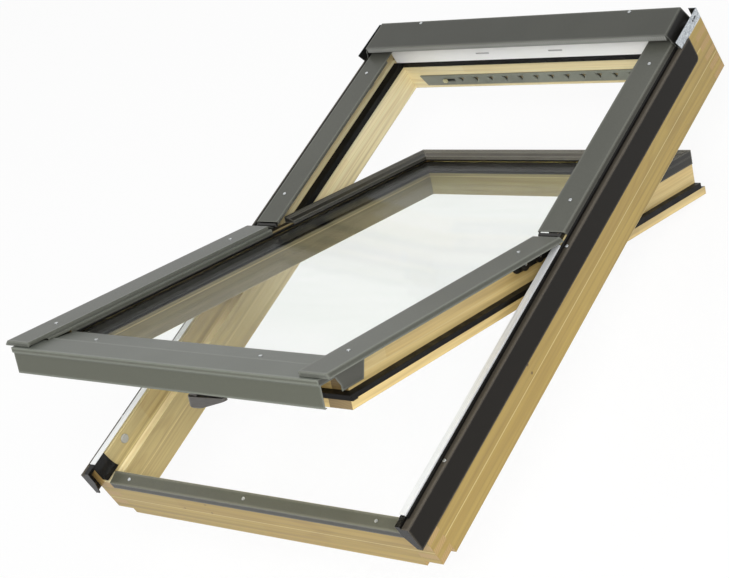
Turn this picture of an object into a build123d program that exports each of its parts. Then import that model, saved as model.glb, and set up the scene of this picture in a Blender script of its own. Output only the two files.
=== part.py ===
from build123d import *
import os
from math import atan2, degrees, hypot, radians, sin, tan

# Centre-pivot roof window: a pine frame that lies in the roof plane and a glazed sash
# that turns on two hinges a little above mid height, drawn open.
# Millimetres. X runs across the window, Y up the roof slope and Z out of the roof.
# The origin is the middle of the sill's room face.

# Shared allowances
overrun = 2.0                # how far a cutting tool passes the face that it cuts
running_gap = 0.3            # between faces that swing or slide past each other
pin_gap = 0.05               # radial play of a hinge pin or spindle
seal_gap = 0.5               # between a shut seal and the face that it closes on
sheet = 1.0                  # folded aluminium

# Wooden frame
frame_width = 780.0
frame_height = 1180.0
frame_depth = 124.0
jamb_width = 40.0
sill_height = 34.0
head_height = 40.0
lip_width = 23.0             # wood left outside the rebate
rebate_depth = 46.0
cove_radius = 9.0
sill_nose_drop = 35.0        # lip of the sill behind the front of the jambs, at its lower edge
sill_crown_drop = 31.0       # and at the rebate
finger_pitch = 12.0

# Pivot and sash travel
pivot_rise = 22.0            # above mid height
pivot_stand = 5.5            # in front of the wood
open_angle = 27.7            # degrees that the sash stands open as drawn
swing = 150.0                # degrees from shut to turned over

# Side covers
cover_rise = 5.5             # outer face in front of the pivot
cover_bevel = 6.5
cover_bevel_drop = 7.0
upper_cover_inset = 74.0     # inner edge from the outer side of the jamb
upper_cover_lip = 6.5
upper_cover_start = 4.0      # above the pivot
upper_cover_end = 56.0       # short of the top of the frame
side_cover_inset = 5.5       # outer edge from the outer side of the jamb
side_cover_overhang = 32.0   # past the lower edge of the frame
side_cover_skirt = 2.0       # above the flashing's ledge
side_cover_end_drop = 9.0
side_step = 9.0              # low strip along the inner edge
side_step_drop = 6.0
cover_overlap = 6.0          # over the edge of the glass rebate

# Side flashing and the upstand beside it
flashing_side = 52.0
flashing_overhang = 16.0     # past the lower edge of the frame
flashing_stop = 58.0         # short of the top of the frame
flashing_corner = 9.0
upstand_web = 13.0           # from the outer side of the jamb
upstand_height = 9.0
upstand_flange = 13.0
upstand_stop = 24.0          # short of the pivot
weather_strip_width = 4.0
weather_strip_height = 5.0

# Sill cover and corner caps
sill_cover_skirt = 14.0
sill_cover_return = 6.0
cap_inner = 38.0             # from the outer side of the jamb
cap_length = 36.0
cap_saddle = 6.0
cap_rise = 6.5               # above the front of the jamb
cap_seat = 2.0               # above the sill cover
cap_end_plate = 2.0
cap_end_chamfer = 18.0

# Hood over the head
hood_inset = 23.0            # its top from the outer side of the jamb
hood_rise = 36.0             # in front of the wood
hood_fall = 2.0              # from back to front
hood_lip = 13.0
hood_splay = 13.0            # of each end at its foot
hood_flange = 5.0            # turned out beyond that
hood_length = 75.0
hood_setback = 12.0          # from the top of the frame
bracket_reach = 17.0
bracket_length = 54.0
bracket_tab_length = 97.0
bracket_tab_rise = 22.0
bracket_tab_slant = 8.0
bracket_slot_length = 16.0
bracket_slot_width = 5.0

# Head fittings
intake_depth = 27.0
intake_clear = 6.0           # below the front of the frame
intake_slot_length = 34.0
intake_slot_height = 4.0
intake_slot_depth = 4.0
intake_slot_shares = (-0.32, 0.2)
gasket_base = 3.0
gasket_leg = 10.0
gasket_start = 22.0          # past the pivot
plug_radius = 9.0
plug_rise = 3.0
plug_height = 87.0           # up the slope from the lower edge
plug_setback = 16.0          # behind the front of the jamb
catch_setback = 131.0        # from the top of the frame
catch_width = 20.0
catch_height = 28.0
catch_plate = 2.0

# Trickle vent in the head
vent_inset = 32.0            # from the jambs
vent_base = 9.0              # from the room face
vent_height = 26.0
vent_end_slant = 9.0
vent_plate = 3.0
vent_blank = 106.0           # plain end of the grille
vent_hole_count = 12
vent_hole_width = 17.0
vent_hole_height = 13.0
vent_channel_depth = 7.0
shutter_thickness = 2.0
shutter_margin = 5.0         # from the grille's edges
shutter_land = 14.0          # past the last opening
thumb_inset = 64.0           # from the end of the grille
thumb_width = 9.0
thumb_height = 7.0
thumb_rise = 5.0

# Wooden sash, drawn shut and then turned open
sash_gap = 5.0               # between the flange and the jamb
sash_gap_low = 8.0
sash_gap_high = 25.0
sash_recess = 8.0            # its outer face behind the pivot
sash_depth = 80.0
flange_thickness = 15.0
flange_step = 13.0
stile_face = 35.0
bottom_rail_height = 37.0
top_rail_height = 48.0
glass_rebate = 21.0
glass_rebate_depth = 32.0
room_edge_radius = 4.0
nose_inset = 3.0             # behind the foot of the side covers
nose_depth = 22.0            # of the bottom rail's nose over the sill

# Glazing unit and its seals
pane = 4.0
glass_cavity = 16.0
glass_tape = 2.0
glass_edge_gap = 2.5
spacer_width = 10.0
spacer_edge = 6.0            # back from the edge of the glass
glazing_gasket = 3.0
glazing_gasket_width = 6.0

# Bottom cover, corner covers and trims of the sash
bottom_ledge_drop = 9.9      # its edge on the glass, behind the pivot
bottom_tread_drop = 4.0
bottom_ridge_set = 25.0      # below the flange's end
bottom_ridge_step = 1.2
side_lip_stop = 11.0         # below the ridge
flap_stand = 6.0             # in front of the side covers' foot
flap_inset = 3.0             # from the wall of the rebate
flap_drop = 53.0             # behind the pivot
flap_hem = 4.0
flap_bead = 9.5
flap_recess = 3.0
corner_plate = 1.5
corner_plate_top = 3.0       # in front of the pivot
corner_plate_reach = 70.0    # above the flange's end
corner_plate_slant = 20.0
corner_plate_clear = 5.0     # above the gasket
corner_plate_heel = 2.0      # below the flange's end
corner_plate_notch = 10.0
trim_low = 4.0               # in front of the sash, at the glass
trim_high = 11.8             # and at the outside
trim_rib = 1.4
trim_rib_shares = ((0.5, 0.6), (0.72, 0.82))
trim_skirt = 16.0
trim_start = 40.0            # past the pivot

# Sash gaskets
sash_gasket_height = 11.0
sash_gasket_lip = 3.0
sash_gasket_wiper = 4.0      # how far the lip passes the flange
sash_gasket_start = 20.0     # past the pivot

# Hinges
pin_radius = 2.5
hinge_plate = 4.0
hinge_plate_half = 45.0
hinge_plate_foot = 7.0       # above the cove
hinge_shoulder = 6.0         # behind the front of the jamb
hinge_ear = 9.0
hinge_ear_rise = 4.0         # in front of the pivot
sash_plate = 3.0
sash_plate_start = 96.0      # below the pivot
sash_plate_end = 20.0        # above the pivot
sash_plate_drop = 24.0       # behind the pivot
sash_plate_radius = 12.0
hinge_lobe = 9.0             # from the side of the stile
hinge_lobe_places = (80.0, 36.0)
ear_root = 9.0
knuckle_start = 2.0          # outside the upper cover's inner edge

# Handle and bolt
handle_offset = -34.0        # spindle from the middle of the window
handle_rise = 22.0           # above the flange's end
handle_base_half = 52.0
handle_base_width = 26.0
handle_base_thickness = 10.0
handle_neck = 6.0
handle_neck_radius = 9.0
lever_length = 66.0
lever_root_radius = 13.0
lever_tip_radius = 7.0
lever_thickness = 22.0
lever_taper = 18.0
lever_edge = 3.0
spindle_radius = 4.0
spindle_reach = 30.0
bolt_width = 18.0
bolt_thickness = 8.0
bolt_length = 16.0
bolt_inset = 8.0             # from the room face
strike_plate = 2.0
strike_width = 46.0
strike_height = 24.0
strike_pocket = 12.0
strike_room = 1.5            # around the bolt

# Cover screws
screw_radius = 3.2
screw_rise = 1.4
screw_slot_share = 0.3       # of the head's radius
upper_screw_inset = 30.0     # from the cover's outer edge
upper_screw_shares = (0.167, 0.893)
side_screw_inset = 37.0
side_screw_shares = (0.143, 0.871)
bottom_screw_set = 10.0      # below the flange's end
bottom_screw_shares = (-0.695, 0.572)
hood_screw_set = 6.0         # from the back of the hood
hood_screw_shares = (-0.7, 0.7)
sill_screw_shares = (-0.87, -0.04, 0.82)
flashing_screw_inset = 5.0
flashing_screw_shares = (0.104, 0.502)

# Worked out from the sizes above
half_width = frame_width / 2
low = -sill_height / 2
high = low + frame_height
front = frame_depth
jamb_in = half_width - jamb_width
wall = half_width - lip_width
sill_in = low + sill_height
head_in = high - head_height
pivot_y = low + frame_height / 2 + pivot_rise
rebate_floor = front - rebate_depth
sill_nose = front - sill_nose_drop
sill_crown = front - sill_crown_drop
flashing_low = front - flashing_side
pivot_level = front + pivot_stand
pivot = (0, pivot_y, pivot_level)
cover_top = pivot_level + cover_rise
lip_start = cover_rise * tan(radians(swing / 2)) + 2 * running_gap
lip_end = cover_rise / sin(radians(180 - swing)) + 2 * running_gap
ledge_top = front + sheet
upstand_x = half_width - upstand_web
hood_half_width = half_width - hood_inset
hood_top = front + hood_rise
hood_back = high - hood_setback
hood_front = hood_back - hood_length
vent_half_width = jamb_in - vent_inset
vent_span = 2 * (vent_half_width - vent_blank)
vent_hole_pitch = vent_span / (vent_hole_count - 1)
vent_middle = vent_base + vent_height / 2
shutter_travel = vent_hole_pitch / 2
thumb_place = thumb_inset - vent_half_width

# Sash: across the window from its middle, along it and square to it from the pivot
flange_half_width = jamb_in - sash_gap
flange_low = sill_in + sash_gap_low - pivot_y
flange_high = head_in - sash_gap_high - pivot_y
sash_face = -sash_recess
room_face = sash_face - sash_depth
flange_face = room_face + flange_thickness
stile_side = flange_half_width - flange_step
sight_half_width = stile_side - stile_face
sight_low = flange_low + bottom_rail_height
sight_high = flange_high - top_rail_height
glass_half_width = sight_half_width + glass_rebate
glass_low = sight_low - glass_rebate
glass_high = sight_high + glass_rebate
glass_seat = sash_face - glass_rebate_depth
inner_pane_face = glass_seat + glass_tape + pane
outer_pane_face = inner_pane_face + glass_cavity + pane
gasket_top = outer_pane_face + glazing_gasket
gasket_edge = glass_edge_gap + glazing_gasket_width
side_cover_inner = glass_half_width - cover_overlap
side_cover_outer = half_width - side_cover_inset
side_cover_low = low - side_cover_overhang - pivot_y
nose_low = side_cover_low + nose_inset
bottom_edge = glass_low + cover_overlap
bottom_ridge = flange_low - bottom_ridge_set
bottom_crest = -bottom_tread_drop - bottom_ridge_step
bottom_run = bottom_edge - bottom_ridge
bottom_fall = bottom_crest + bottom_ledge_drop
bottom_sheet = sheet * hypot(bottom_run, bottom_fall) / bottom_run
bottom_under = bottom_crest - bottom_sheet
side_lip_end = bottom_ridge - side_lip_stop
flap_front = side_cover_low - flap_stand
knuckle_radius = cover_rise - sheet - running_gap
sash_gasket_top = flange_face + sash_gasket_height
bolt_level = room_face + bolt_inset
handle_along = flange_low + handle_rise
sides = {"left": -1, "right": 1}


def block(x0, x1, y0, y1, z0, z1):
    """A box between two opposite corners."""
    centre = Pos((x0 + x1) / 2, (y0 + y1) / 2, (z0 + z1) / 2)
    return centre * Box(x1 - x0, y1 - y0, z1 - z0)


def along_y(points, y0, y1):
    """A prism along Y whose section is given as (x, z) points."""
    return extrude(Plane.XZ.offset(-y0) * Polygon(*points, align=None), amount=y1 - y0, dir=(0, 1, 0))


def along_x(points, x0, x1):
    """A prism along X whose section is given as (y, z) points."""
    return extrude(Plane.YZ.offset(x0) * Polygon(*points, align=None), amount=x1 - x0, dir=(1, 0, 0))


def along_z(points, z0, z1):
    """A prism along Z whose section is given as (x, y) points."""
    return extrude(Plane.XY.offset(z0) * Polygon(*points, align=None), amount=z1 - z0, dir=(0, 0, 1))


def folded(points, thickness):
    """Outline of a folded strip: the given line and its copy set off to the right of its run."""
    normals = []
    for (a0, b0), (a1, b1) in zip(points, points[1:]):
        run = hypot(a1 - a0, b1 - b0)
        normals.append(((b1 - b0) / run, (a0 - a1) / run))
    joints = [normals[0]]
    for (p, q), (r, s) in zip(normals, normals[1:]):
        spread = 1 + p * r + q * s
        joints.append(((p + r) / spread, (q + s) / spread))
    joints.append(normals[-1])
    back = [(a + thickness * p, b + thickness * q) for (a, b), (p, q) in zip(points, joints)]
    return points + back[::-1]


def at_side(part, side):
    """A piece drawn on the right, mirrored for the left."""
    return part if side > 0 else mirror(part, about=Plane.YZ)


def shut(points):
    """Sash points measured from the pivot, placed as in the shut window."""
    return [(pivot_y + along, pivot_level + out) for along, out in points]


def sash_block(x0, x1, along0, along1, out0, out1):
    """A box of the shut sash, measured from the pivot."""
    return block(x0, x1, pivot_y + along0, pivot_y + along1, pivot_level + out0, pivot_level + out1)


def opened(part):
    """A piece of the shut sash, turned to where the window stands open."""
    return part.rotate(Axis(pivot, (1, 0, 0)), -open_angle)


# Wooden frame


def frame_ring():
    """The four members in one piece: a rebated ring with a cove at the foot of the rebate."""
    ring = block(-half_width, half_width, low, high, 0, front)
    ring -= block(-jamb_in, jamb_in, sill_in, head_in, -overrun, front + overrun)
    pocket = block(-wall, wall, low + lip_width, high - lip_width, rebate_floor, front + overrun)
    ring -= fillet(pocket.faces().sort_by(Axis.Z)[0].edges(), cove_radius)
    slope = [(low - overrun, sill_nose), (low, sill_nose), (low + lip_width, sill_crown),
             (low + lip_width, front + overrun), (low - overrun, front + overrun)]
    return ring - along_x(slope, -wall, wall)


def fingers(y0, y1, first, top):
    """Every other finger of the two corner joints between y0 and y1."""
    cells = []
    for layer in range(first, int(top // finger_pitch), 2):
        z0 = layer * finger_pitch
        for x0, x1 in ((-half_width, -jamb_in), (jamb_in, half_width)):
            cells.append(block(x0, x1, y0, y1, z0, z0 + finger_pitch))
    return cells


def rail(ring, y0, y1, cells):
    """The sill or the head: the ring between the jambs and its own fingers."""
    zone = block(-jamb_in, jamb_in, y0, y1, 0, front)
    return ring & (zone + cells)


def jamb(ring, cells):
    """The right jamb, without the fingers of the sill and the head."""
    notch = block(jamb_in, half_width, low, sill_in, 0, finger_pitch)
    return (ring & block(jamb_in, half_width, low, high, 0, front)) - cells - notch


def strike_cut():
    """Pocket in the sill that takes the bolt of the shut window."""
    level = pivot_level + bolt_level
    half = bolt_width / 2 + strike_room
    deep = bolt_thickness / 2 + strike_room
    return block(handle_offset - half, handle_offset + half, sill_in - strike_pocket, sill_in + overrun,
                 level - deep, level + deep)


def shutter_ends():
    half = vent_span / 2 + vent_hole_width / 2 + shutter_land
    return min(-half, thumb_place - thumb_width), half


def vent_channel():
    """Groove in the head that the shutter of the vent slides in."""
    left, right = shutter_ends()
    half = vent_height / 2 - shutter_margin + running_gap
    return block(left - running_gap, right + shutter_travel + running_gap, head_in - overrun,
                 head_in + vent_channel_depth, vent_middle - half, vent_middle + half)


def wooden_frame():
    ring = frame_ring()
    sill_cells = fingers(low, sill_in, 1, rebate_floor)
    head_cells = fingers(head_in, high, 0, front)
    right = jamb(ring, sill_cells + head_cells)
    return {
        "right_jamb": right,
        "left_jamb": at_side(right, -1),
        "sill": rail(ring, low, sill_in, sill_cells) - strike_cut(),
        "head": rail(ring, head_in, high, head_cells) - vent_channel(),
    }


# Frame metalwork


def side_flashing():
    """Angle over the outer edge of the jamb; its upper end is rounded off below."""
    line = [(half_width, flashing_low), (half_width, front), (upstand_x, front)]
    angle = along_y(folded(line, sheet), low - flashing_overhang, high - flashing_stop)
    corner = angle.edges().filter_by(Axis.X).group_by(Axis.Y)[-1].sort_by(Axis.Z)[0]
    return fillet(corner, flashing_corner)


def upstand():
    top = front + upstand_height
    line = [(upstand_x - upstand_flange, top), (upstand_x, top), (upstand_x, front)]
    return along_y(folded(line, sheet), low + cap_saddle, pivot_y - upstand_stop)


def weather_strip():
    return block(upstand_x, upstand_x + weather_strip_width, low + cap_saddle, hood_front - running_gap,
                 ledge_top, ledge_top + weather_strip_height)


def cover_line(inner, inner_foot, outer, outer_foot):
    """Section of a side cover from its inner edge over the top to its outer edge."""
    return [(inner, inner_foot), (inner, cover_top), (outer - cover_bevel, cover_top),
            (outer, cover_top - cover_bevel_drop), (outer, outer_foot)]


def upper_cover():
    inner = half_width - upper_cover_inset
    line = cover_line(inner, cover_top - upper_cover_lip, upstand_x, front)
    cover = along_y(folded(line, sheet), pivot_y + upper_cover_start, high - upper_cover_end)
    stop = pivot_y + glass_high - gasket_edge - sheet
    return cover - block(inner - overrun, inner + sheet + overrun, stop, high,
                         front - overrun, cover_top - sheet)


def sill_cover():
    back = low + lip_width
    line = [(low, sill_nose - sill_cover_skirt), (low, sill_nose), (back, sill_crown),
            (back, sill_crown - sill_cover_return)]
    half = half_width - cap_inner
    return along_x(folded(line[::-1], sheet), -half, half)


def corner_cap():
    """Plastic cap: a saddle on the foot of the jamb, a hollow cheek and the flashing's end."""
    inner = half_width - cap_inner
    top = front + cap_rise
    foot = sill_crown + sheet + cap_seat
    saddle = block(wall, upstand_x, low - flashing_overhang, low + cap_saddle, front, top)
    cheek = block(inner, wall, low, low + cap_length, foot, top)
    hollow = top - foot
    scoop = Plane.XZ.offset(overrun - low) * Pos(inner, top) * Ellipse(wall - inner - sheet, hollow - sheet)
    cheek -= extrude(scoop, amount=cap_length + 2 * overrun, dir=(0, 1, 0))
    plate_low = flashing_low + sheet
    inset = cap_end_chamfer / 2
    end = [(upstand_x - inset, front), (half_width, front), (half_width, plate_low),
           (half_width - inset, plate_low), (upstand_x - inset, front - cap_end_chamfer)]
    plate = along_y(end, low - flashing_overhang, low - flashing_overhang + cap_end_plate)
    return saddle + cheek + plate


def hood():
    """Folded hood: a lip in front, a back that stands on the head and splayed ends with a foot."""
    brow = hood_top - hood_fall
    line = [(hood_front, brow - hood_lip), (hood_front, brow), (hood_back, hood_top), (hood_back, front)]
    foot = hood_half_width + hood_splay
    foot_top = ledge_top + sheet
    end = [(hood_half_width, hood_top), (foot, foot_top), (foot + hood_flange, foot_top)]
    right = along_y(folded(end, sheet), hood_front, hood_back)
    right -= along_x([(hood_front, brow), (hood_back, hood_top), (hood_back, hood_top + overrun),
                      (hood_front, hood_top + overrun)], hood_half_width - hood_splay, half_width)
    return along_x(folded(line, sheet), -hood_half_width, hood_half_width) + right + at_side(right, -1)


def hood_bracket():
    """Galvanised angle on the corner of the frame: a foot on the wood, a slotted upright and a return."""
    foot = block(half_width - bracket_reach, half_width, high - bracket_length, high, front, ledge_top)
    top = ledge_top + bracket_tab_rise
    start = high - bracket_tab_length
    tab = [(start + bracket_tab_slant, ledge_top), (high, ledge_top), (high, top), (start, top)]
    upright = along_x(tab, half_width - sheet, half_width)
    middle = Pos(hood_back - bracket_slot_length / 2, top - 2 * bracket_slot_width)
    slot = Plane.YZ.offset(half_width) * middle * SlotOverall(bracket_slot_length, bracket_slot_width)
    upright -= extrude(slot, amount=overrun, both=True)
    return foot + upright + block(half_width - bracket_reach, half_width, high - sheet, high, ledge_top, top)


# Head and jamb fittings


def air_intake():
    """Pale intake strip in the rebate of the head, with two slots."""
    back = high - lip_width
    y0 = back - intake_depth
    foot, top = rebate_floor + gasket_base, front - intake_clear
    section = [(y0, foot), (back - cove_radius, foot), (back, foot + cove_radius), (back, top), (y0, top)]
    bar = along_x(section, -jamb_in, jamb_in)
    level = (foot + top) / 2
    for x in [jamb_in * share for share in intake_slot_shares]:
        bar -= block(x - intake_slot_length / 2, x + intake_slot_length / 2, y0 - overrun,
                     y0 + intake_slot_depth, level - intake_slot_height / 2, level + intake_slot_height / 2)
    return bar


def gasket_section(inner, corner, outer):
    """A leg on the inner face of a member and a base on its rebate floor."""
    foot = pivot_level + sash_gasket_top + seal_gap
    top = rebate_floor + gasket_base
    return [(inner, foot), (corner, foot), (corner, rebate_floor), (outer, rebate_floor),
            (outer, top), (inner, top)]


def jamb_gasket():
    section = gasket_section(jamb_in - gasket_leg, jamb_in, wall - cove_radius)
    return along_y(section, pivot_y + gasket_start, head_in - gasket_leg)


def head_gasket():
    section = gasket_section(head_in - gasket_leg, head_in, high - lip_width - cove_radius)
    return along_x(section, -jamb_in, jamb_in)


def jamb_plug():
    turn = Pos(-wall + plug_rise / 2, low + plug_height, front - plug_setback) * Rot(0, 90, 0)
    button = turn * Cylinder(plug_radius, plug_rise)
    return chamfer(button.faces().sort_by(Axis.X)[-1].edges(), plug_rise / 2)


def jamb_catch():
    """Small plate on the left jamb that the sash is held by."""
    y0 = high - catch_setback - catch_width / 2
    z0 = rebate_floor + cove_radius + catch_plate
    plate = block(-wall, -wall + catch_plate, y0, y0 + catch_width, z0, z0 + catch_height)
    return fillet(plate.edges().filter_by(Axis.X), catch_plate)


def strike():
    level = pivot_level + bolt_level
    plate = block(handle_offset - strike_width / 2, handle_offset + strike_width / 2,
                  sill_in, sill_in + strike_plate, level - strike_height / 2, level + strike_height / 2)
    plate = fillet(plate.edges().filter_by(Axis.Y), strike_height / 4)
    return plate - strike_cut()


# Trickle vent


def vent_triangle(x, y0, y1):
    half = vent_hole_height / 2
    points = [(x - vent_hole_width / 2, vent_middle + half), (x + vent_hole_width / 2, vent_middle + half),
              (x, vent_middle - half)]
    return along_y(points, y0, y1)


def vent_places():
    return [number * vent_hole_pitch - vent_span / 2 for number in range(vent_hole_count)]


def thumb_slot(clearance):
    """Room that the thumb piece takes up, widened by a clearance and by its travel."""
    travel = shutter_travel if clearance else 0
    half = thumb_height / 2 + clearance
    reach = thumb_width / 2 + clearance
    return block(thumb_place - reach, thumb_place + reach + travel,
                 head_in - vent_plate - thumb_rise, head_in + running_gap + shutter_thickness / 2,
                 vent_middle - half, vent_middle + half)


def vent_grille():
    top = vent_base + vent_height
    outline = [(-vent_half_width, top), (vent_half_width, top),
               (vent_half_width - vent_end_slant, vent_base), (vent_end_slant - vent_half_width, vent_base)]
    plate = along_y(outline, head_in - vent_plate, head_in)
    for x in vent_places():
        plate -= vent_triangle(x, head_in - vent_plate - overrun, head_in + overrun)
    return plate - thumb_slot(running_gap)


def vent_shutter():
    """Sliding strip behind the grille; its openings stand behind the grille's as drawn."""
    left, right = shutter_ends()
    y0 = head_in + running_gap
    half = vent_height / 2 - shutter_margin
    strip = block(left, right, y0, y0 + shutter_thickness, vent_middle - half, vent_middle + half)
    for x in vent_places():
        strip -= vent_triangle(x, y0 - overrun, y0 + shutter_thickness + overrun)
    return strip + thumb_slot(0)


# Wooden sash


def sash_ring():
    """Stiles and rails in one piece: room flange, glass rebate and the nose over the sill."""
    ring = sash_block(-flange_half_width, flange_half_width, flange_low, flange_high, room_face, flange_face)
    ring += sash_block(-stile_side, stile_side, flange_low + flange_step, flange_high - flange_step,
                       flange_face, sash_face)
    sight = sash_block(-sight_half_width, sight_half_width, sight_low, sight_high,
                       room_face - overrun, sash_face + overrun)
    rebate = sash_block(-glass_half_width, glass_half_width, glass_low, glass_high,
                        glass_seat, sash_face + overrun)
    ring = ring - sight - rebate
    room_edges = ring.faces().sort_by(Axis.Z)[0].inner_wires()[0].edges()
    ring = fillet(room_edges, room_edge_radius)
    rail_edge = flange_low + flange_step
    edge_under = -bottom_ledge_drop - bottom_sheet
    nose = [(nose_low, sash_face - nose_depth), (rail_edge, sash_face - nose_depth), (rail_edge, sash_face),
            (bottom_ridge, bottom_under), (nose_low, bottom_under)]
    ring += along_x(shut(nose), -stile_side, stile_side)
    slope = [(bottom_ridge, bottom_under), (bottom_edge, edge_under), (bottom_edge, cover_rise),
             (bottom_ridge, cover_rise)]
    return ring - along_x(shut(slope), -half_width, half_width)


def bolt_slot():
    half = bolt_width / 2 + running_gap
    deep = bolt_thickness / 2 + running_gap
    return sash_block(handle_offset - half, handle_offset + half, flange_low - overrun,
                      flange_low + bolt_length + running_gap, bolt_level - deep, bolt_level + deep)


def spindle_bore():
    place = Pos(handle_offset, pivot_y + handle_along, pivot_level + room_face)
    return place * Cylinder(spindle_radius + pin_gap, 2 * spindle_reach + 2 * running_gap)


def wooden_sash():
    ring = sash_ring()
    reach = half_width
    inside = sash_block(-sight_half_width, sight_half_width, nose_low, 0, room_face, cover_rise)
    upper = sash_block(-sight_half_width, sight_half_width, 0, flange_high, room_face, cover_rise)
    outside = sash_block(sight_half_width, reach, nose_low, flange_high, room_face, cover_rise)
    right = ring & outside
    return {
        "right_stile": right,
        "left_stile": at_side(right, -1),
        "bottom_rail": (ring & inside) - bolt_slot() - spindle_bore(),
        "top_rail": ring & upper,
    }


# Glazing


def pane_at(out0):
    half = glass_half_width - glass_edge_gap
    return sash_block(-half, half, glass_low + glass_edge_gap, glass_high - glass_edge_gap, out0, out0 + pane)


def glass_ring(edge, width, out0, out1):
    """A flat ring that lies a given distance inside the edge of the glass."""
    half = glass_half_width - glass_edge_gap - edge
    bottom, top = glass_low + glass_edge_gap + edge, glass_high - glass_edge_gap - edge
    outer = sash_block(-half, half, bottom, top, out0, out1)
    return outer - sash_block(width - half, half - width, bottom + width, top - width,
                              out0 - overrun, out1 + overrun)


def glazing():
    inner = glass_seat + glass_tape
    return {
        "inner_pane": pane_at(inner),
        "outer_pane": pane_at(outer_pane_face - pane),
        "glass_spacer": glass_ring(spacer_edge, spacer_width, inner_pane_face, outer_pane_face - pane),
        "glazing_tape": glass_ring(0, glass_rebate - glass_edge_gap, glass_seat, inner),
        "glazing_gasket": glass_ring(0, glazing_gasket_width, outer_pane_face, gasket_top),
    }


# Sash covers and trims


def side_cover():
    """Lower side cover with a turned-down foot and a sloped lip that clears the upper cover."""
    inner, outer = side_cover_inner, side_cover_outer
    raised, step = inner + side_step, cover_top - side_step_drop
    line = [(inner, pivot_level + gasket_top), (inner, step)]
    line += cover_line(raised, step, outer, ledge_top + side_cover_skirt)
    y0, y1 = pivot_y + side_cover_low, pivot_y - lip_start
    cover = along_y(folded(line, sheet), y0, y1)
    for end, level in ((glass_low + sheet, bottom_under + sheet), (side_lip_end, cover_rise - sheet)):
        cover -= sash_block(inner - overrun, raised, side_cover_low - overrun, end,
                            gasket_top - overrun, level)
    lip_root = knuckle_radius + 2 * sheet
    lip = shut([(-lip_start, cover_rise), (-lip_end, 0), (-lip_root, -lip_root / 2)])
    cover += along_x(folded(lip, sheet), raised, wall - hinge_plate - 2 * running_gap)
    foot = cover_line(raised, cover_top - side_cover_end_drop, outer, cover_top - side_cover_end_drop)
    return cover + along_y(foot, y0, y0 + sheet)


def bottom_cover():
    """Cover of the bottom rail: a sloped ledge, a ridge, a tread and a beaded flap in front of the sill."""
    inner = shut([(bottom_edge, -bottom_ledge_drop), (bottom_ridge, bottom_crest),
                  (bottom_ridge, -bottom_tread_drop), (side_lip_end - sheet, -bottom_tread_drop)])
    half = side_cover_inner - running_gap
    ledge = along_x(folded(inner[::-1], sheet), -half, half)
    bead, skirt = -bottom_tread_drop - flap_bead, flap_front + flap_recess
    outer = shut([(side_lip_end - running_gap, -bottom_tread_drop), (flap_front, -bottom_tread_drop),
                  (flap_front, bead), (skirt, bead), (skirt, -flap_drop), (skirt + flap_hem, -flap_drop)])
    half = wall - flap_inset
    return ledge + along_x(folded(outer[::-1], sheet), -half, half)


def corner_cover():
    """Painted plate on the side of the stile at the sash's lower corner."""
    under = bottom_under - running_gap
    foot = sash_gasket_top + corner_plate_clear
    heel = flange_low - corner_plate_heel
    end = flange_low + corner_plate_reach
    nose = sash_face - nose_depth
    points = [(side_cover_low + 2 * sheet, under), (side_lip_end, under), (side_lip_end, corner_plate_top),
              (end, corner_plate_top), (end - corner_plate_slant, foot), (heel, foot),
              (heel, foot + corner_plate_notch), (heel - corner_plate_notch, nose),
              (side_cover_low + 2 * sheet, nose)]
    return along_x(shut(points), stile_side, stile_side + corner_plate)


def trim_section(inner_edge, outer_edge):
    """Section of the dark trim of the upper half: it rises from the glass to the outside, with two ribs."""
    start, rise = (inner_edge, sash_face + trim_low), trim_high - trim_low
    run = outer_edge + sheet - inner_edge
    points = [(inner_edge, gasket_top), start]
    for share0, share1 in trim_rib_shares:
        for share, rib in ((share0, 0), (share0, trim_rib), (share1, trim_rib), (share1, 0)):
            points.append((start[0] + run * share, start[1] + rise * share + rib))
    skirt = sash_face - trim_skirt
    return points + [(outer_edge + sheet, sash_face + trim_high), (outer_edge + sheet, skirt),
                     (outer_edge, skirt), (outer_edge, sash_face),
                     (inner_edge + sheet, sash_face), (inner_edge + sheet, gasket_top)]


def mitred(part, points):
    """The part of a trim that lies over an outline of (across, along) points."""
    outline = [(x, pivot_y + along) for x, along in points]
    return part & along_z(outline, pivot_level - sash_depth, pivot_level + sash_depth)


def upper_trim():
    inner, top = glass_half_width - gasket_edge, glass_high - gasket_edge
    outer, end = stile_side + sheet, flange_high - flange_step + sheet
    section = [(x, pivot_level + out) for x, out in trim_section(inner, stile_side)]
    trim = along_y(section, pivot_y + trim_start, pivot_y + end)
    return mitred(trim, [(inner, 0), (outer, 0), (outer, end), (inner, top)])


def top_trim():
    inner, top = glass_half_width - gasket_edge, glass_high - gasket_edge
    outer, end = stile_side + sheet, flange_high - flange_step + sheet
    trim = along_x(shut(trim_section(top, flange_high - flange_step)), -outer, outer)
    return mitred(trim, [(-inner, top), (inner, top), (outer, end), (-outer, end)])


# Sash seals


def sash_gasket_section(edge):
    """Seal on the step of the flange with a wiper lip that passes the flange's edge."""
    lip = edge + flange_step + sash_gasket_wiper
    below = sash_gasket_top - sash_gasket_lip
    return [(edge, flange_face), (edge + flange_step, flange_face), (edge + flange_step, below),
            (lip, below), (lip, sash_gasket_top), (edge, sash_gasket_top)]


def side_gasket():
    section = [(x, pivot_level + out) for x, out in sash_gasket_section(stile_side)]
    return along_y(section, pivot_y + flange_low + flange_step, pivot_y - sash_gasket_start)


def bottom_gasket():
    edge = flange_low + flange_step
    section = shut([(2 * edge - along, out) for along, out in sash_gasket_section(edge)])
    half = flange_half_width + sash_gasket_wiper
    return along_x(section, -half, half)


def upper_seal():
    """Plain seal on the flange of the upper half, which meets the jamb's gasket."""
    return sash_block(stile_side, flange_half_width, sash_gasket_start, flange_high - flange_step,
                      flange_face, sash_gasket_top)


# Hinges


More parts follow.
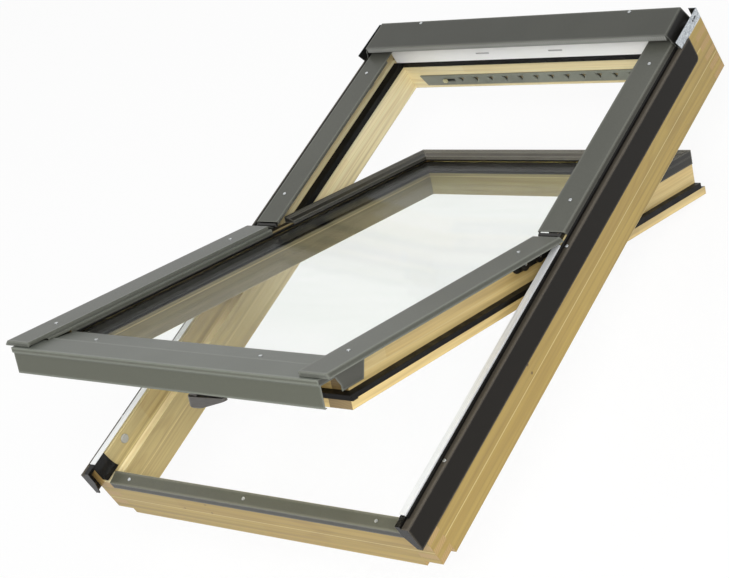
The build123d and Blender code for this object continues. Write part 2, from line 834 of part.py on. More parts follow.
def frame_hinge():
    foot, shoulder = rebate_floor + cove_radius + hinge_plate_foot, front - hinge_shoulder
    top = pivot_level + hinge_ear_rise
    points = [(pivot_y - hinge_plate_half, foot), (pivot_y + hinge_plate_half, foot),
              (pivot_y + hinge_plate_half, shoulder), (pivot_y + hinge_ear, top),
              (pivot_y - hinge_ear, top), (pivot_y - hinge_plate_half, shoulder)]
    plate = along_x(points, wall - hinge_plate, wall)
    bore = Cylinder(pin_radius + pin_gap, 2 * hinge_plate + 2 * overrun)
    return plate - Pos(wall, pivot_y, pivot_level) * Rot(0, 90, 0) * bore


def sash_hinge():
    """Plate on the stile with the knuckle and pin that turn in the frame's hinge."""
    face = Plane.YZ.offset(stile_side)
    middle = pivot_y + (sash_plate_end - sash_plate_start) / 2
    slot = SlotCenterToCenter(sash_plate_start + sash_plate_end, 2 * sash_plate_radius)
    plate = extrude(face * Pos(middle, pivot_level - sash_plate_drop) * slot, amount=sash_plate)
    for place in hinge_lobe_places:
        disc = Pos(pivot_y - place, pivot_level - sash_plate_drop) * Circle(sash_plate_radius)
        plate += extrude(face * disc, amount=hinge_lobe)
    ear = shut([(-ear_root, -sash_plate_drop), (ear_root, -sash_plate_drop), (knuckle_radius, 0),
                (-knuckle_radius, 0)])
    plate += along_x(ear, stile_side, stile_side + sash_plate)
    x0 = half_width - upper_cover_inset + sheet + knuckle_start
    x1 = wall - hinge_plate - running_gap
    knuckle = Pos((x0 + x1) / 2, pivot_y, pivot_level) * Rot(0, 90, 0) * Cylinder(knuckle_radius, x1 - x0)
    pin = Pos((x1 + wall) / 2, pivot_y, pivot_level) * Rot(0, 90, 0) * Cylinder(pin_radius, wall - x1)
    return plate + knuckle + pin


# Handle and bolt


def handle_base():
    base = sash_block(-handle_base_half, handle_base_half, handle_along - handle_base_width / 2,
                      handle_along + handle_base_width / 2, room_face - handle_base_thickness, room_face)
    base = fillet(base.edges().filter_by(Axis.Z), handle_base_width / 3)
    return base - spindle_bore()


def handle_lever():
    """Tapered lever whose neck turns on the base; it runs across the sash as drawn."""
    place = Pos(handle_offset, pivot_y + handle_along, 0)
    back = pivot_level + room_face - handle_base_thickness - running_gap
    spindle_top = pivot_level + room_face + spindle_reach
    spindle = place * Pos(0, 0, (spindle_top + back) / 2) * Cylinder(spindle_radius, spindle_top - back)
    neck = place * Pos(0, 0, back - handle_neck / 2) * Cylinder(handle_neck_radius, handle_neck)
    web = Polygon((0, -lever_root_radius), (lever_length, -lever_tip_radius),
                  (lever_length, lever_tip_radius), (0, lever_root_radius), align=None)
    arm = Circle(lever_root_radius) + web + Pos(lever_length, 0) * Circle(lever_tip_radius)
    grip = extrude(place * Pos(0, 0, back - handle_neck) * arm, amount=-lever_thickness)
    grip = chamfer(grip.faces().sort_by(Axis.Z)[0].edges(), lever_edge)
    under = back - handle_neck - lever_thickness
    tip = handle_offset + lever_length + lever_root_radius
    wedge = [(handle_offset + lever_root_radius, under), (tip, under + lever_taper), (tip, under - overrun),
             (handle_offset + lever_root_radius, under - overrun)]
    y = pivot_y + handle_along
    grip -= along_y(wedge, y - 2 * lever_root_radius, y + 2 * lever_root_radius)
    return spindle + neck + grip


def lock_bolt():
    half, deep = bolt_width / 2, bolt_thickness / 2
    return sash_block(handle_offset - half, handle_offset + half, flange_low, flange_low + bolt_length,
                      bolt_level - deep, bolt_level + deep)


# Cover screws


def screw(place):
    """Screw head with a slot, seated on the plane of a place and facing out of it."""
    head = Pos(0, 0, screw_rise / 2) * Cylinder(screw_radius, screw_rise)
    half = screw_radius * screw_slot_share / 2
    slot = block(-screw_radius, screw_radius, -half, half, screw_rise / 2, screw_rise + overrun)
    return place * (head - slot)


def spread(start, end, shares):
    return [start + (end - start) * share for share in shares]


def frame_screws():
    places = []
    for sign in sides.values():
        x = sign * (upstand_x - upper_screw_inset)
        places += [Pos(x, y, cover_top) for y in spread(pivot_y, hood_front, upper_screw_shares)]
        x = sign * (half_width - flashing_screw_inset)
        places += [Pos(x, y, ledge_top) for y in spread(low, high, flashing_screw_shares)]
    tilt = Rot(degrees(atan2(hood_fall, hood_length)), 0, 0)
    y = hood_back - hood_screw_set
    level = hood_top - hood_fall * hood_screw_set / hood_length
    places += [Pos(hood_half_width * share, y, level) * tilt for share in hood_screw_shares]
    rise = sill_crown - sill_nose
    tilt = Rot(degrees(atan2(rise, lip_width)), 0, 0)
    level = (sill_nose + sill_crown) / 2 + sheet * hypot(lip_width, rise) / lip_width
    half = half_width - cap_inner
    places += [Pos(half * share, low + lip_width / 2, level) * tilt for share in sill_screw_shares]
    return [screw(place) for place in places]


def sash_screws():
    places = []
    for sign in sides.values():
        x = sign * (side_cover_outer - side_screw_inset)
        ends = (pivot_y + side_cover_low, pivot_y - lip_start)
        places += [Pos(x, y, cover_top) for y in spread(*ends, side_screw_shares)]
        x, z = sign * (stile_side + hinge_lobe), pivot_level - sash_plate_drop
        places += [Pos(x, pivot_y - along, z) * Rot(0, sign * 90, 0) for along in hinge_lobe_places]
    along = flange_low - bottom_screw_set
    level = pivot_level + bottom_crest - bottom_fall * (along - bottom_ridge) / bottom_run
    tilt = Rot(-degrees(atan2(bottom_fall, bottom_run)), 0, 0)
    places += [Pos(side_cover_inner * share, pivot_y + along, level) * tilt for share in bottom_screw_shares]
    return [screw(place) for place in places]


def frame_pieces():
    pieces = wooden_frame()
    for side, sign in sides.items():
        pieces[f"{side}_flashing"] = at_side(side_flashing(), sign)
        pieces[f"{side}_upstand"] = at_side(upstand(), sign)
        pieces[f"{side}_weather_strip"] = at_side(weather_strip(), sign)
        pieces[f"{side}_upper_cover"] = at_side(upper_cover(), sign)
        pieces[f"{side}_corner_cap"] = at_side(corner_cap(), sign)
        pieces[f"{side}_hood_bracket"] = at_side(hood_bracket(), sign)
        pieces[f"{side}_frame_gasket"] = at_side(jamb_gasket(), sign)
        pieces[f"{side}_frame_hinge"] = at_side(frame_hinge(), sign)
    pieces["sill_cover"] = sill_cover()
    pieces["hood"] = hood()
    pieces["air_intake"] = air_intake()
    pieces["head_gasket"] = head_gasket()
    pieces["jamb_plug"] = jamb_plug()
    pieces["jamb_catch"] = jamb_catch()
    pieces["strike_plate"] = strike()
    pieces["vent_grille"] = vent_grille()
    pieces["vent_shutter"] = vent_shutter()
    pieces["frame_screws"] = Compound(frame_screws())
    return pieces


def sash_pieces():
    pieces = wooden_sash()
    pieces.update(glazing())
    for side, sign in sides.items():
        pieces[f"{side}_side_cover"] = at_side(side_cover(), sign)
        pieces[f"{side}_corner_cover"] = at_side(corner_cover(), sign)
        pieces[f"{side}_upper_trim"] = at_side(upper_trim(), sign)
        pieces[f"{side}_sash_gasket"] = at_side(side_gasket(), sign)
        pieces[f"{side}_upper_seal"] = at_side(upper_seal(), sign)
        pieces[f"{side}_sash_hinge"] = at_side(sash_hinge(), sign)
    pieces["bottom_cover"] = bottom_cover()
    pieces["top_trim"] = top_trim()
    pieces["bottom_gasket"] = bottom_gasket()
    pieces["handle_base"] = handle_base()
    pieces["handle_lever"] = handle_lever()
    pieces["lock_bolt"] = lock_bolt()
    pieces["sash_screws"] = Compound(sash_screws())
    return {name: opened(piece) for name, piece in pieces.items()}


os.makedirs("parts", exist_ok=True)
for name, piece in {**frame_pieces(), **sash_pieces()}.items():
    export_step(piece, f"parts/{name}.step")
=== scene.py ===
import bpy
from math import pi, radians
from mathutils import Matrix, Vector


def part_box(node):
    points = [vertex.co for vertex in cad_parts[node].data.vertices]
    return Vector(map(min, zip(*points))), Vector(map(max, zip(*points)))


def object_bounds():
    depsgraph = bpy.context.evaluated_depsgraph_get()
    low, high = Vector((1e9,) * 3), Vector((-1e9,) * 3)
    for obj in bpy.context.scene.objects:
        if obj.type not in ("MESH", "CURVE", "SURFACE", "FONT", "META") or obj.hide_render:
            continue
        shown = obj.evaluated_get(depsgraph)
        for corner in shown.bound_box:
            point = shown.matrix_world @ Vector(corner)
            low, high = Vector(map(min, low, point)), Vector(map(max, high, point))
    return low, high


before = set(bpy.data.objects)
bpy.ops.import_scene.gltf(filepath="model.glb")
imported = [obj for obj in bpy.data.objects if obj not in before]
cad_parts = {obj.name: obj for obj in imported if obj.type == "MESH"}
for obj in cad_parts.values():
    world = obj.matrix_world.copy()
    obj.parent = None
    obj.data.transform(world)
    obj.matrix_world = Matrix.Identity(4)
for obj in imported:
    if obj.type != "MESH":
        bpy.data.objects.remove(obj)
cad_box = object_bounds()

# Axes and the opened sash, in metres

X, Y, Z = 0, 1, 2
PLUS, MINUS, BOTH_WAYS = 1, -1, 0      # sense along an axis
PIVOT = Vector((0.0, 0.595, 0.1295))
OPEN = radians(27.7)
TURN_BACK = (OPEN, 0.0, 0.0)
BACK_SHIFT = PIVOT - Matrix.Rotation(OPEN, 3, "X") @ PIVOT


class Look:
    """One procedural material and short calls for its nodes.
    A turned look is laid out on the shut sash, so its coordinates are turned back."""

    def __init__(self, name, turned=False):
        self.material = bpy.data.materials.new(name)
        self.material.use_nodes = True
        self.tree = self.material.node_tree
        self.shader = self.tree.nodes["Principled BSDF"]
        coordinates = self.tree.nodes.new("ShaderNodeTexCoord")
        self.place = coordinates.outputs["Object"]
        self.facing = coordinates.outputs["Normal"]
        if turned:
            self.place = self.mapped(self.place, location=BACK_SHIFT, rotation=TURN_BACK)
            self.facing = self.mapped(self.facing, rotation=TURN_BACK)

    def feed(self, socket, value):
        if isinstance(value, bpy.types.NodeSocket):
            self.tree.links.new(value, socket)
        else:
            socket.default_value = value

    def made(self, kind, inputs):
        """A new node with its inputs linked or set."""
        node = self.tree.nodes.new("ShaderNode" + kind)
        for key, value in inputs.items():
            self.feed(node.inputs[key], value)
        return node

    def set(self, values):
        """Links or sets sockets of the shader by name."""
        for key, value in values.items():
            self.feed(self.shader.inputs[key], value)

    def mapped(self, vector, location=(0, 0, 0), rotation=(0, 0, 0), scale=(1, 1, 1)):
        inputs = {"Vector": vector, "Location": location, "Rotation": rotation, "Scale": scale}
        return self.made("Mapping", inputs).outputs["Vector"]

    def split(self, vector):
        return self.made("SeparateXYZ", {"Vector": vector}).outputs

    def noise(self, scale, detail, roughness=0.5, distortion=0.0):
        inputs = {"Vector": self.mapped(self.place, scale=scale), "Scale": 1.0, "Detail": detail,
                  "Roughness": roughness, "Distortion": distortion}
        return self.made("TexNoise", inputs).outputs["Fac"]

    def cells(self, per_metre):
        """A number that is the same all over one grain of a crystal pattern."""
        node = self.made("TexVoronoi", {"Vector": self.place, "Scale": per_metre})
        return self.split(node.outputs["Color"])[0]

    def random(self, a, b):
        """A number that is the same all over one cell of two whole numbers."""
        both = self.made("CombineXYZ", {"X": a, "Y": b}).outputs[0]
        return self.made("TexWhiteNoise", {"Vector": both}).outputs["Value"]

    def math(self, operation, a, b=0.0, c=0.0):
        node = self.made("Math", {0: a, 1: b, 2: c})
        node.operation = operation
        return node.outputs[0]

    def vector_math(self, operation, a, b):
        node = self.made("VectorMath", {0: a, 1: b})
        node.operation = operation
        return node.outputs["Value"]

    def ranged(self, value, low, high, start=0.0, end=1.0, smooth=True):
        inputs = {"Value": value, "From Min": low, "From Max": high, "To Min": start, "To Max": end}
        node = self.made("MapRange", inputs)
        node.interpolation_type = "SMOOTHSTEP" if smooth else "LINEAR"
        return node.outputs["Result"]

    def blend(self, share, a, b, kind="MIX"):
        node = self.made("Mix", {"Factor": share})
        node.data_type = "RGBA"
        node.blend_type = kind
        for socket, value in zip((s for s in node.inputs if s.type == "RGBA"), (a, b)):
            self.feed(socket, value if isinstance(value, bpy.types.NodeSocket) else (*value, 1))
        return next(s for s in node.outputs if s.type == "RGBA")

    def partly(self, mask, share, a, b):
        """Colour b over colour a where the mask is 1, by a share."""
        return self.blend(self.math("MULTIPLY", mask, share), a, b)

    def tones(self, value, *stops):
        node = self.made("ValToRGB", {0: value})
        ramp = node.color_ramp
        for _ in stops[2:]:
            ramp.elements.new(0.5)
        for element, (position, colour) in zip(ramp.elements, stops):
            element.position = position
            element.color = (*colour, 1)
        return node.outputs["Color"]

    def rounded(self, radius):
        """Normal that rounds the edges off for the light."""
        node = self.made("Bevel", {"Radius": radius})
        node.samples = 4
        return node.outputs["Normal"]

    def highlight_edges(self, radius):
        """1 along the edges and 0 on the flats; used for painted highlights."""
        true = self.tree.nodes.new("ShaderNodeNewGeometry").outputs["True Normal"]
        likeness = self.vector_math("DOT_PRODUCT", self.rounded(radius), true)
        return self.ranged(likeness, 0.965, 0.9995, start=1.0, end=0.0)

    def crease_shade(self, reach):
        """1 deep in a crease or hole and 0 in the open; used for painted shade."""
        node = self.made("AmbientOcclusion", {"Distance": reach})
        node.samples = 4
        return self.ranged(node.outputs["AO"], 0.3, 0.9, start=1.0, end=0.0)

    def facing_to(self, axis, sense):
        """1 on the faces that look along an axis, one way or both ways."""
        value = self.split(self.facing)[axis]
        if sense == BOTH_WAYS:
            value = self.math("ABSOLUTE", value)
        else:
            value = self.math("MULTIPLY", value, sense)
        return self.ranged(value, 0.6, 0.8)

    def spot(self, at, radius):
        """1 at a point of the surface, falling to 0 at a radius."""
        distance = self.vector_math("DISTANCE", self.place, at)
        return self.ranged(distance, 0.25 * radius, radius, start=1.0, end=0.0)

    def relief(self, height, depth, strength, edge_radius):
        """Bump of a height pattern over rounded edges."""
        inputs = {"Height": height, "Distance": depth, "Strength": strength,
                  "Normal": self.rounded(edge_radius)}
        self.set({"Normal": self.made("Bump", inputs).outputs["Normal"]})


def srgb(code):
    """Linear colour of a six-digit code."""
    parts = [int(code[k:k + 2], 16) / 255 for k in (0, 2, 4)]
    return tuple(p / 12.92 if p <= 0.04045 else ((p + 0.055) / 1.055) ** 2.4 for p in parts)


def times(colour, factor, most=1.0):
    """A colour made darker or lighter."""
    return tuple(min(most, factor * part) for part in colour)


def even(per_metre):
    """Noise scale that is the same along every axis."""
    return (per_metre, per_metre, per_metre)


def stretched(fine, length, axis):
    """Noise scale that is drawn out along one axis."""
    scale = list(even(fine))
    scale[axis] = length
    return tuple(scale)


# Materials

BOARD_HEIGHT = 0.0413       # of one layer of the laminated wood
BOARDS_PER_METRE = 1.9
BOARD_STAGGER = 0.37
CORE_ASIDE = 0.3            # the tree's core, from which the end grain's rings run
CORE_DEPTH = 0.06
LOWER_SHADE_SPAN = (0.4, 0.66)    # where the painted shade of the lower half ends, up the slope


def pine(name, along, outward, turned=False, pale="fdf0c4", gold="a8914b", ends="b29258",
         inner_shade="", shade_lower_half=False, knots=()):
    """Laminated, varnished pine whose grain runs along an axis.
    Faces that look outward are golden and the others pale: one wood painted lit and shaded by the
    way its faces look. The cut ends show rings. The faces towards the opening may have a painted
    shade of their own, or on their lower half alone. The sash's outer faces, which lie under the
    covers, are painted dark as their shade."""
    look = Look(name, turned)
    across = Y if along == X else X
    place = look.split(look.place)
    fibre = look.noise(stretched(420.0, 5.0, along), detail=3.0, roughness=0.6)
    streak = look.noise(stretched(120.0, 0.9, along), detail=3.0, roughness=0.55, distortion=0.2)
    figure = look.noise(stretched(13.0, 0.9, along), detail=1.5, distortion=0.2)

    def streaked(code):
        base = srgb(code)
        light = times(base, 1.2, most=0.95)
        return look.tones(streak, (0.25, times(base, 0.76)), (0.5, base), (0.78, light))

    # Golden outward faces and pale other faces: one wood, painted lit and shaded by the way each
    # face looks.
    golden, cream = streaked(gold), streaked(pale)
    # Painted shade on the faces towards the opening, or on their lower half alone.
    if inner_shade:
        inward = look.facing_to(across, -outward)
        if shade_lower_half:
            low = look.ranged(place[Y], *LOWER_SHADE_SPAN, start=1.0, end=0.0)
            inward = look.math("MULTIPLY", inward, low)
        cream = look.blend(inward, cream, streaked(inner_shade))
    colour = look.blend(look.facing_to(across, outward), cream, golden)

    wave = look.math("SINE", look.math("MULTIPLY", figure, 85.0))
    rings = look.math("MULTIPLY", look.ranged(wave, 0.1, 1.0), 0.13)
    colour = look.blend(rings, colour, srgb("a8853c"), "MULTIPLY")
    dark_fibre = look.ranged(fibre, 0.3, 0.75, start=0.2, end=0.0)
    colour = look.blend(dark_fibre, colour, srgb("b3934f"), "MULTIPLY")

    level = look.math("DIVIDE", place[Z], BOARD_HEIGHT)
    layer = look.math("FLOOR", level)
    stagger = look.math("MULTIPLY", layer, BOARD_STAGGER)
    count = look.math("MULTIPLY_ADD", place[along], BOARDS_PER_METRE, stagger)
    board = look.random(layer, look.math("FLOOR", count))
    board_share = look.ranged(board, 0.0, 1.0, start=0.0, end=0.3, smooth=False)
    colour = look.blend(board_share, colour, srgb("e8cf92"), "MULTIPLY")
    off_middle = look.math("SUBTRACT", look.math("FRACT", level), 0.5)
    glue_line = look.ranged(look.math("ABSOLUTE", off_middle), 0.475, 0.49)
    colour = look.partly(glue_line, 0.6, colour, srgb("ddcb92"))
    for at, radius in knots:
        colour = look.partly(look.spot(at, radius), 0.85, colour, srgb("4e3418"))

    aside = look.math("POWER", look.math("SUBTRACT", place[across], CORE_ASIDE), 2.0)
    below = look.math("POWER", look.math("ADD", place[Z], CORE_DEPTH), 2.0)
    from_core = look.math("SQRT", look.math("ADD", aside, below))
    wobble = look.math("MULTIPLY", streak, 4.0)
    growth = look.math("SINE", look.math("MULTIPLY_ADD", from_core, 1400.0, wobble))
    end_share = look.ranged(growth, -0.5, 1.0, start=0.25, end=0.8)
    end_grain = look.blend(end_share, times(srgb(ends), 0.75), srgb(ends))
    colour = look.blend(look.facing_to(along, BOTH_WAYS), colour, end_grain)
    # Painted shade: the sash's outer faces under the covers are dark.
    if turned:
        shade_under_covers = look.tones(fibre, (0.3, srgb("1c1711")), (0.7, srgb("2e261b")))
        colour = look.blend(look.facing_to(Z, PLUS), colour, shade_under_covers)

    halves = (look.math("MULTIPLY", pattern, 0.5) for pattern in (fibre, streak))
    look.relief(look.math("ADD", *halves), depth=0.0004, strength=0.35, edge_radius=0.0012)
    look.set({"Base Color": colour, "Roughness": look.ranged(fibre, 0.2, 0.8, start=0.36, end=0.52),
              "Coat Weight": 0.15, "Coat Roughness": 0.25})
    return look


def sash_pine(name, along, outward, inner_shade):
    # Painted light: the sash's outward faces are lighter, against the shade of the covers.
    return pine(name, along, outward, turned=True, pale="d2c08a", gold="dcc68a", ends="8a744a",
                inner_shade=inner_shade)


def paint(name, code, turned=False, shine=0.34, zones=(), rib_pitch=0.0, gloss=0.3):
    """Satin powder paint on folded sheet: fine grain, faint clouds, painted highlights on the
    folds, painted shade in the creases.
    Zones give faces that look along an axis a tone of their own: painted shade on sides and fronts,
    and the hood's pale lip. A rib pitch gives the lip that looks down the slope its ribs."""
    look = Look(name, turned)
    grain = look.noise(even(900.0), detail=2.0, roughness=0.6)
    cloud = look.noise((6.0, 3.0, 6.0), detail=3.0)

    def grained(shade):
        base = srgb(shade)
        return look.tones(grain, (0.3, times(base, 0.8)), (0.5, base), (0.72, times(base, 1.22)))

    cloud_and_highlight = tuple(min(0.9, 2.2 * part + 0.02) for part in srgb(code))
    clouded = look.ranged(cloud, 0.35, 0.7, start=0.0, end=0.1)
    colour = look.blend(clouded, grained(code), cloud_and_highlight)
    # Painted shade on the faces that look along an axis; the hood's pale lip is its own colour.
    for axis, sense, shade in zones:
        colour = look.blend(look.facing_to(axis, sense), colour, grained(shade))
    # Painted highlight along the folds, then painted shade in the creases.
    colour = look.partly(look.highlight_edges(0.005), 0.75, colour, cloud_and_highlight)
    colour = look.partly(look.crease_shade(0.006), 0.7, colour, times(srgb(code), 0.2))
    if rib_pitch:
        phase = look.math("MULTIPLY", look.split(look.place)[X], 2 * pi / rib_pitch)
        groove = look.ranged(look.math("SINE", phase), 0.0, 0.8, start=0.0, end=0.8)
        groove = look.math("MULTIPLY", groove, look.facing_to(Y, MINUS))
        colour = look.blend(groove, colour, srgb("2a2a27"))
    look.relief(grain, depth=0.00012, strength=0.5, edge_radius=0.0011)
    roughness = look.ranged(grain, 0.3, 0.7, start=shine - 0.05, end=shine + 0.1)
    look.set({"Base Color": colour, "Roughness": roughness, "Specular IOR Level": gloss})
    return look


def metal(name, code, lines_scale, turned=False, roughness=0.3, metallic=1.0):
    """Bare metal with fine drawing lines."""
    look = Look(name, turned)
    lines = look.noise(lines_scale, detail=2.0)
    base = srgb(code)
    colour = look.tones(lines, (0.25, times(base, 0.82)), (0.75, times(base, 1.1)))
    look.relief(lines, depth=0.00008, strength=0.5, edge_radius=0.0006)
    varied = look.ranged(lines, 0.2, 0.8, start=roughness - 0.08, end=roughness + 0.1)
    look.set({"Base Color": colour, "Metallic": metallic, "Roughness": varied})
    return look


def galvanised(name, outward):
    """Hot-dip zinc with its spangle on the faces that look outward or up, and painted black shade
    on the other faces.
    """
    look = Look(name)
    spangle = look.cells(420.0)
    fine = look.noise(even(800.0), detail=2.0)
    grey, pale, light = srgb("959ba1"), srgb("b4babf"), srgb("d0d5d8")
    colour = look.tones(spangle, (0.1, grey), (0.5, pale), (0.9, light))
    # The faces that look inward or down get painted black shade.
    unshaded = look.math("MAXIMUM", look.facing_to(X, outward), look.facing_to(Z, PLUS))
    black = look.math("SUBTRACT", 1.0, unshaded)
    colour = look.blend(black, colour, srgb("1a1a18"))
    look.relief(fine, depth=0.0001, strength=0.4, edge_radius=0.0006)
    look.set({"Base Color": colour, "Metallic": look.math("MULTIPLY", unshaded, 0.6),
              "Roughness": look.ranged(spangle, 0.0, 1.0, start=0.3, end=0.5)})
    return look


def rubber(name, along, turned=False):
    """Extruded black seal: fine lines along its run and a little bloom."""
    look = Look(name, turned)
    lines = look.noise(stretched(900.0, 8.0, along), detail=2.0)
    bloom = look.noise(even(30.0), detail=3.0, roughness=0.6)
    base = srgb("0f0e0d")
    colour = look.tones(lines, (0.3, times(base, 0.6)), (0.7, times(base, 1.5)))
    bloomed = look.ranged(bloom, 0.5, 0.8, start=0.0, end=0.12)
    colour = look.blend(bloomed, colour, srgb("4a4a48"))
    look.relief(lines, depth=0.0002, strength=0.5, edge_radius=0.0008)
    look.set({"Base Color": colour, "Roughness": look.ranged(bloom, 0.3, 0.7, start=0.42, end=0.6),
              "Specular IOR Level": 0.15})
    return look


def moulded(look, colour_of, shine):
    """Fine eroded grain of a moulding, with a colour that may follow it."""
    grain = look.noise(even(1400.0), detail=2.0, roughness=0.55)
    look.relief(grain, depth=0.0001, strength=0.4, edge_radius=0.0008)
    roughness = look.ranged(grain, 0.3, 0.7, start=shine[0], end=shine[1])
    look.set({"Base Color": colour_of(grain), "Roughness": roughness})
    return look


def plastic(name, code, turned=False, shine=0.35, contrast=0.12, gloss=0.35, pit_shade=0.0, edges=""):
    """Moulded plastic with faint clouds, painted shade in its pits and a painted highlight along
    its edges.
    """
    look = Look(name, turned)
    cloud = look.noise(even(14.0), detail=2.0)
    base = srgb(code)
    light = times(base, 1 + contrast, most=0.95)
    colour = look.tones(cloud, (0.3, times(base, 1 - contrast)), (0.7, light))
    # Painted highlight along the edges.
    if edges:
        colour = look.partly(look.highlight_edges(0.004), 0.7, colour, srgb(edges))
    # Painted shade in the pits.
    if pit_shade:
        colour = look.partly(look.crease_shade(0.006), pit_shade, colour, srgb("1c1b19"))
    look.set({"Specular IOR Level": gloss})
    return moulded(look, lambda grain: colour, (shine - 0.05, shine + 0.12))


def shutter_plastic(name, front):
    """Dark slide behind the grille, with a pale thumb piece that stands out in front of it."""
    look = Look(name)

    def colour_of(grain):
        pale = look.tones(grain, (0.3, srgb("bdb78c")), (0.7, srgb("d2cca2")))
        dark = look.tones(grain, (0.3, srgb("1f1e1b")), (0.7, srgb("34322d")))
        ahead = look.ranged(look.split(look.place)[Y], front - 0.001, front, start=1.0, end=0.0)
        return look.blend(ahead, dark, pale)

    return moulded(look, colour_of, (0.35, 0.5))


def glass(name):
    """Clear float glass with a breath of grey-green and a few wiped traces."""
    look = Look(name, turned=True)
    wiped = look.noise((3.0, 9.0, 3.0), detail=3.0, roughness=0.55, distortion=0.4)
    colour = look.blend(look.ranged(wiped, 0.3, 0.7), srgb("f9fbf9"), srgb("fcfdfc"))
    look.set({"Base Color": colour, "Roughness": 0.0, "Transmission Weight": 1.0, "IOR": 1.04})
    return look


# Cover paints: their zones are painted shade on sides and fronts, and the hood's ends are painted
# near-black shade.
side_paint = paint("side_paint", "52544d", turned=True, zones=((X, BOTH_WAYS, "46473f"),))
bottom_paint = paint("bottom_paint", "5b5e57", turned=True,
                     zones=((X, BOTH_WAYS, "53534c"), (Y, MINUS, "54564b")))
frame_paint = paint("frame_paint", "4e4f48", zones=((X, BOTH_WAYS, "34322d"),))
sill_paint = paint("sill_paint", "555549", zones=((Y, MINUS, "343430"),))
flashing_paint = paint("flashing_paint", "443f37", shine=0.42, gloss=0.12,
                       zones=((X, BOTH_WAYS, "181511"), (Y, MINUS, "181511")))
hood_paint = paint("hood_paint", "41423c", rib_pitch=0.005,
                   zones=((Y, MINUS, "a0a19c"), (X, BOTH_WAYS, "161513")))
silver = metal("silver", "eef0f1", stretched(700.0, 6.0, Y), roughness=0.36, metallic=0.25)
zinc = metal("zinc", "d4d7d8", even(500.0))
zinc_sash = metal("zinc_sash", "d4d7d8", even(500.0), turned=True)
handle_metal = metal("handle_metal", "6c6a67", stretched(600.0, 8.0, X), turned=True,
                     roughness=0.34)
black_cap = plastic("black_cap", "100f0e", shine=0.2, contrast=0.3, gloss=0.25)
# Painted shade in the pits of the intake and grille, painted highlight along the trims' edges.
white_strip = plastic("white_strip", "fafaf7", shine=0.32, contrast=0.03, pit_shade=0.4)
grey_plug = plastic("grey_plug", "a3a39d")
vent_grey = plastic("vent_grey", "83867b", pit_shade=0.5)
shutter_look = shutter_plastic("shutter_plastic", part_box("vent_grille")[0][1])
dark_trim = plastic("dark_trim", "262521", turned=True, shine=0.4, contrast=0.2, edges="77756c")
top_dark_trim = plastic("top_dark_trim", "55524a", turned=True, contrast=0.2, edges="8f8d83")
hinge_dark = plastic("hinge_dark", "242320", turned=True, shine=0.3, contrast=0.3)
hinge_frame = plastic("hinge_frame", "242320", shine=0.3, contrast=0.3)
handle_plate = plastic("handle_plate", "3b3a37", turned=True, contrast=0.2)
ring_black = plastic("ring_black", "11100f", turned=True, shine=0.5, contrast=0.3, gloss=0.15)
spacer_look = plastic("spacer_black", "262521", turned=True, shine=0.4, contrast=0.2, gloss=0.2)
seal_frame = rubber("seal_frame", Y)
seal_head = rubber("seal_head", X)
seal_sash = rubber("seal_sash", Y, turned=True)
seal_rail = rubber("seal_rail", X, turned=True)
clear = glass("clear_glass")

# Painted shade for the faces towards the opening: the jambs' lower half and the sash's faces seen
# through the glass.
JAMB_INNER_SHADE, STILE_INNER_SHADE, RAIL_INNER_SHADE = "b9aa78", "857d5f", "aea26c"
KNOT_RADIUS = 0.004
MARK_RADIUS = 0.003
jamb_knots = [(at, KNOT_RADIUS) for at in ((0.39, 0.3546, 0.07), (0.39, 0.3531, 0.0507))]
sill_marks = [(at, MARK_RADIUS) for at in ((-0.186, -0.017, 0.0459), (-0.118, -0.017, 0.0684),
                                           (-0.117, -0.017, 0.0452))]
looks = {
    "right_jamb": pine("pine_right_jamb", Y, PLUS, inner_shade=JAMB_INNER_SHADE, shade_lower_half=True, knots=jamb_knots),
    "left_jamb": pine("pine_left_jamb", Y, MINUS, inner_shade=JAMB_INNER_SHADE, shade_lower_half=True),
    "sill": pine("pine_sill", X, MINUS, knots=sill_marks),
    "head": pine("pine_head", X, PLUS),
    "right_stile": sash_pine("pine_right_stile", Y, PLUS, STILE_INNER_SHADE),
    "left_stile": sash_pine("pine_left_stile", Y, MINUS, STILE_INNER_SHADE),
    "bottom_rail": sash_pine("pine_bottom_rail", X, MINUS, RAIL_INNER_SHADE),
    "top_rail": sash_pine("pine_top_rail", X, PLUS, RAIL_INNER_SHADE),
    "sill_cover": sill_paint, "hood": hood_paint, "air_intake": white_strip,
    "head_gasket": seal_head, "jamb_plug": grey_plug, "jamb_catch": zinc, "strike_plate": zinc,
    "vent_grille": vent_grey, "vent_shutter": shutter_look, "frame_screws": zinc,
    "outer_pane": clear, "inner_pane": clear, "glass_spacer": spacer_look,
    "glazing_tape": ring_black, "glazing_gasket": ring_black, "bottom_cover": bottom_paint,
    "top_trim": top_dark_trim, "bottom_gasket": seal_rail, "sash_screws": zinc_sash,
    "handle_base": handle_plate, "handle_lever": handle_metal, "lock_bolt": zinc_sash,
    "left_hood_bracket": galvanised("spangled_left", MINUS),
    "right_hood_bracket": galvanised("spangled_right", PLUS),
}
paired_looks = {
    "flashing": flashing_paint, "upstand": silver, "weather_strip": seal_frame,
    "upper_cover": frame_paint, "corner_cap": black_cap, "frame_gasket": seal_frame,
    "frame_hinge": hinge_frame, "side_cover": side_paint, "corner_cover": bottom_paint,
    "upper_trim": dark_trim, "sash_gasket": seal_sash, "upper_seal": seal_sash,
    "sash_hinge": hinge_dark,
}
for part, look in paired_looks.items():
    looks[f"left_{part}"] = looks[f"right_{part}"] = look
for name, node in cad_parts.items():
    node.data.materials.clear()
    node.data.materials.append(looks[name].material)

# Stage, light and camera

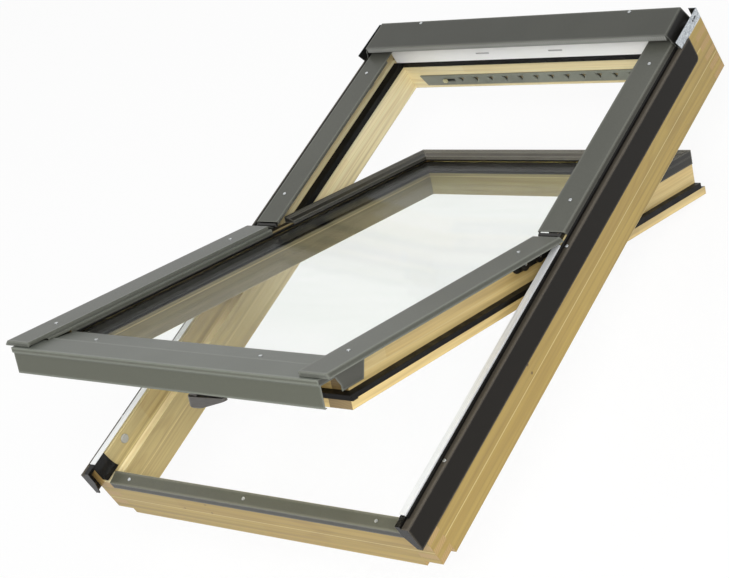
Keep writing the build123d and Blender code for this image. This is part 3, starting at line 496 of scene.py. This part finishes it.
FLOOR_REACH = 9.0
FLOOR_GAP = 0.002           # under the object's lowest point
FLOOR_LIFT = 0.9            # share of plain white where the floor is seen
WORLD_LIGHT = 0.6
BACKGROUND = (0.97, 0.97, 0.97, 1)
AIM = Vector((0.0, 0.55, 0.1))


def seen_share(tree):
    """1 for the rays that show the background, directly, mirrored or through glass."""
    path = tree.nodes.new("ShaderNodeLightPath")
    share = path.outputs["Is Camera Ray"]
    for ray in ("Is Glossy Ray", "Is Transmission Ray"):
        either = tree.nodes.new("ShaderNodeMath")
        either.operation = "MAXIMUM"
        tree.links.new(share, either.inputs[0])
        tree.links.new(path.outputs[ray], either.inputs[1])
        share = either.outputs[0]
    return share


def mix_by(tree, share, plain, seen, output):
    """Shows one shader to most rays and another one by a share."""
    mix = tree.nodes.new("ShaderNodeMixShader")
    for socket, value in zip(mix.inputs, (share, plain.outputs[0], seen.outputs[0])):
        tree.links.new(value, socket)
    tree.links.new(mix.outputs[0], tree.nodes[output].inputs["Surface"])


def pale_floor(level):
    """Wide pale floor that keeps the shadow and is lifted towards white where it is seen."""
    corners = [(x * FLOOR_REACH, y * FLOOR_REACH, level)
               for x, y in ((-1, -1), (1, -1), (1, 1), (-1, 1))]
    mesh = bpy.data.meshes.new("floor")
    mesh.from_pydata(corners, [], [(0, 1, 2, 3)])
    floor = bpy.data.objects.new("floor", mesh)
    bpy.context.scene.collection.objects.link(floor)
    look = Look("floor_white")
    look.set({"Base Color": (0.9, 0.9, 0.9, 1), "Roughness": 0.9, "Specular IOR Level": 0.0})
    white = look.made("Emission", {})
    share = look.math("MULTIPLY", seen_share(look.tree), FLOOR_LIFT)
    mix_by(look.tree, share, look.shader, white, "Material Output")
    mesh.materials.append(look.material)


def soft_world():
    """Even white light, behind which the background is seen pale."""
    world = bpy.data.worlds.new("studio")
    bpy.context.scene.world = world
    world.use_nodes = True
    tree = world.node_tree
    lit = tree.nodes["Background"]
    lit.inputs["Color"].default_value = (1, 1, 1, 1)
    lit.inputs["Strength"].default_value = WORLD_LIGHT
    seen = tree.nodes.new("ShaderNodeBackground")
    seen.inputs["Color"].default_value = BACKGROUND
    mix_by(tree, seen_share(tree), lit, seen, "World Output")


def panel_light(name, place, size, energy):
    """Square soft light that looks at the object."""
    lamp = bpy.data.lights.new(name, "AREA")
    lamp.size = size
    lamp.energy = energy
    holder = bpy.data.objects.new(name, lamp)
    holder.location = place
    holder.rotation_euler = (AIM - Vector(place)).to_track_quat("-Z", "Y").to_euler()
    bpy.context.scene.collection.objects.link(holder)


pale_floor(cad_box[0][Z] - FLOOR_GAP)
soft_world()
panel_light("key", (2.2, -1.3, 2.6), size=1.8, energy=105.0)
panel_light("fill", (-2.2, -0.6, 2.4), size=2.0, energy=12.0)

lens = bpy.data.cameras.new("camera")
lens.sensor_width = 36.0
lens.lens = 95.7636
lens.shift_x = -0.011687
lens.shift_y = -0.026587
camera = bpy.data.objects.new("camera", lens)
camera.location = (2.32643, -1.24031, 2.17136)
camera.rotation_euler = (radians(49.54953), radians(27.62328), radians(31.77204))
bpy.context.scene.collection.objects.link(camera)
bpy.context.scene.camera = camera
bpy.context.scene.view_settings.view_transform = "Standard"
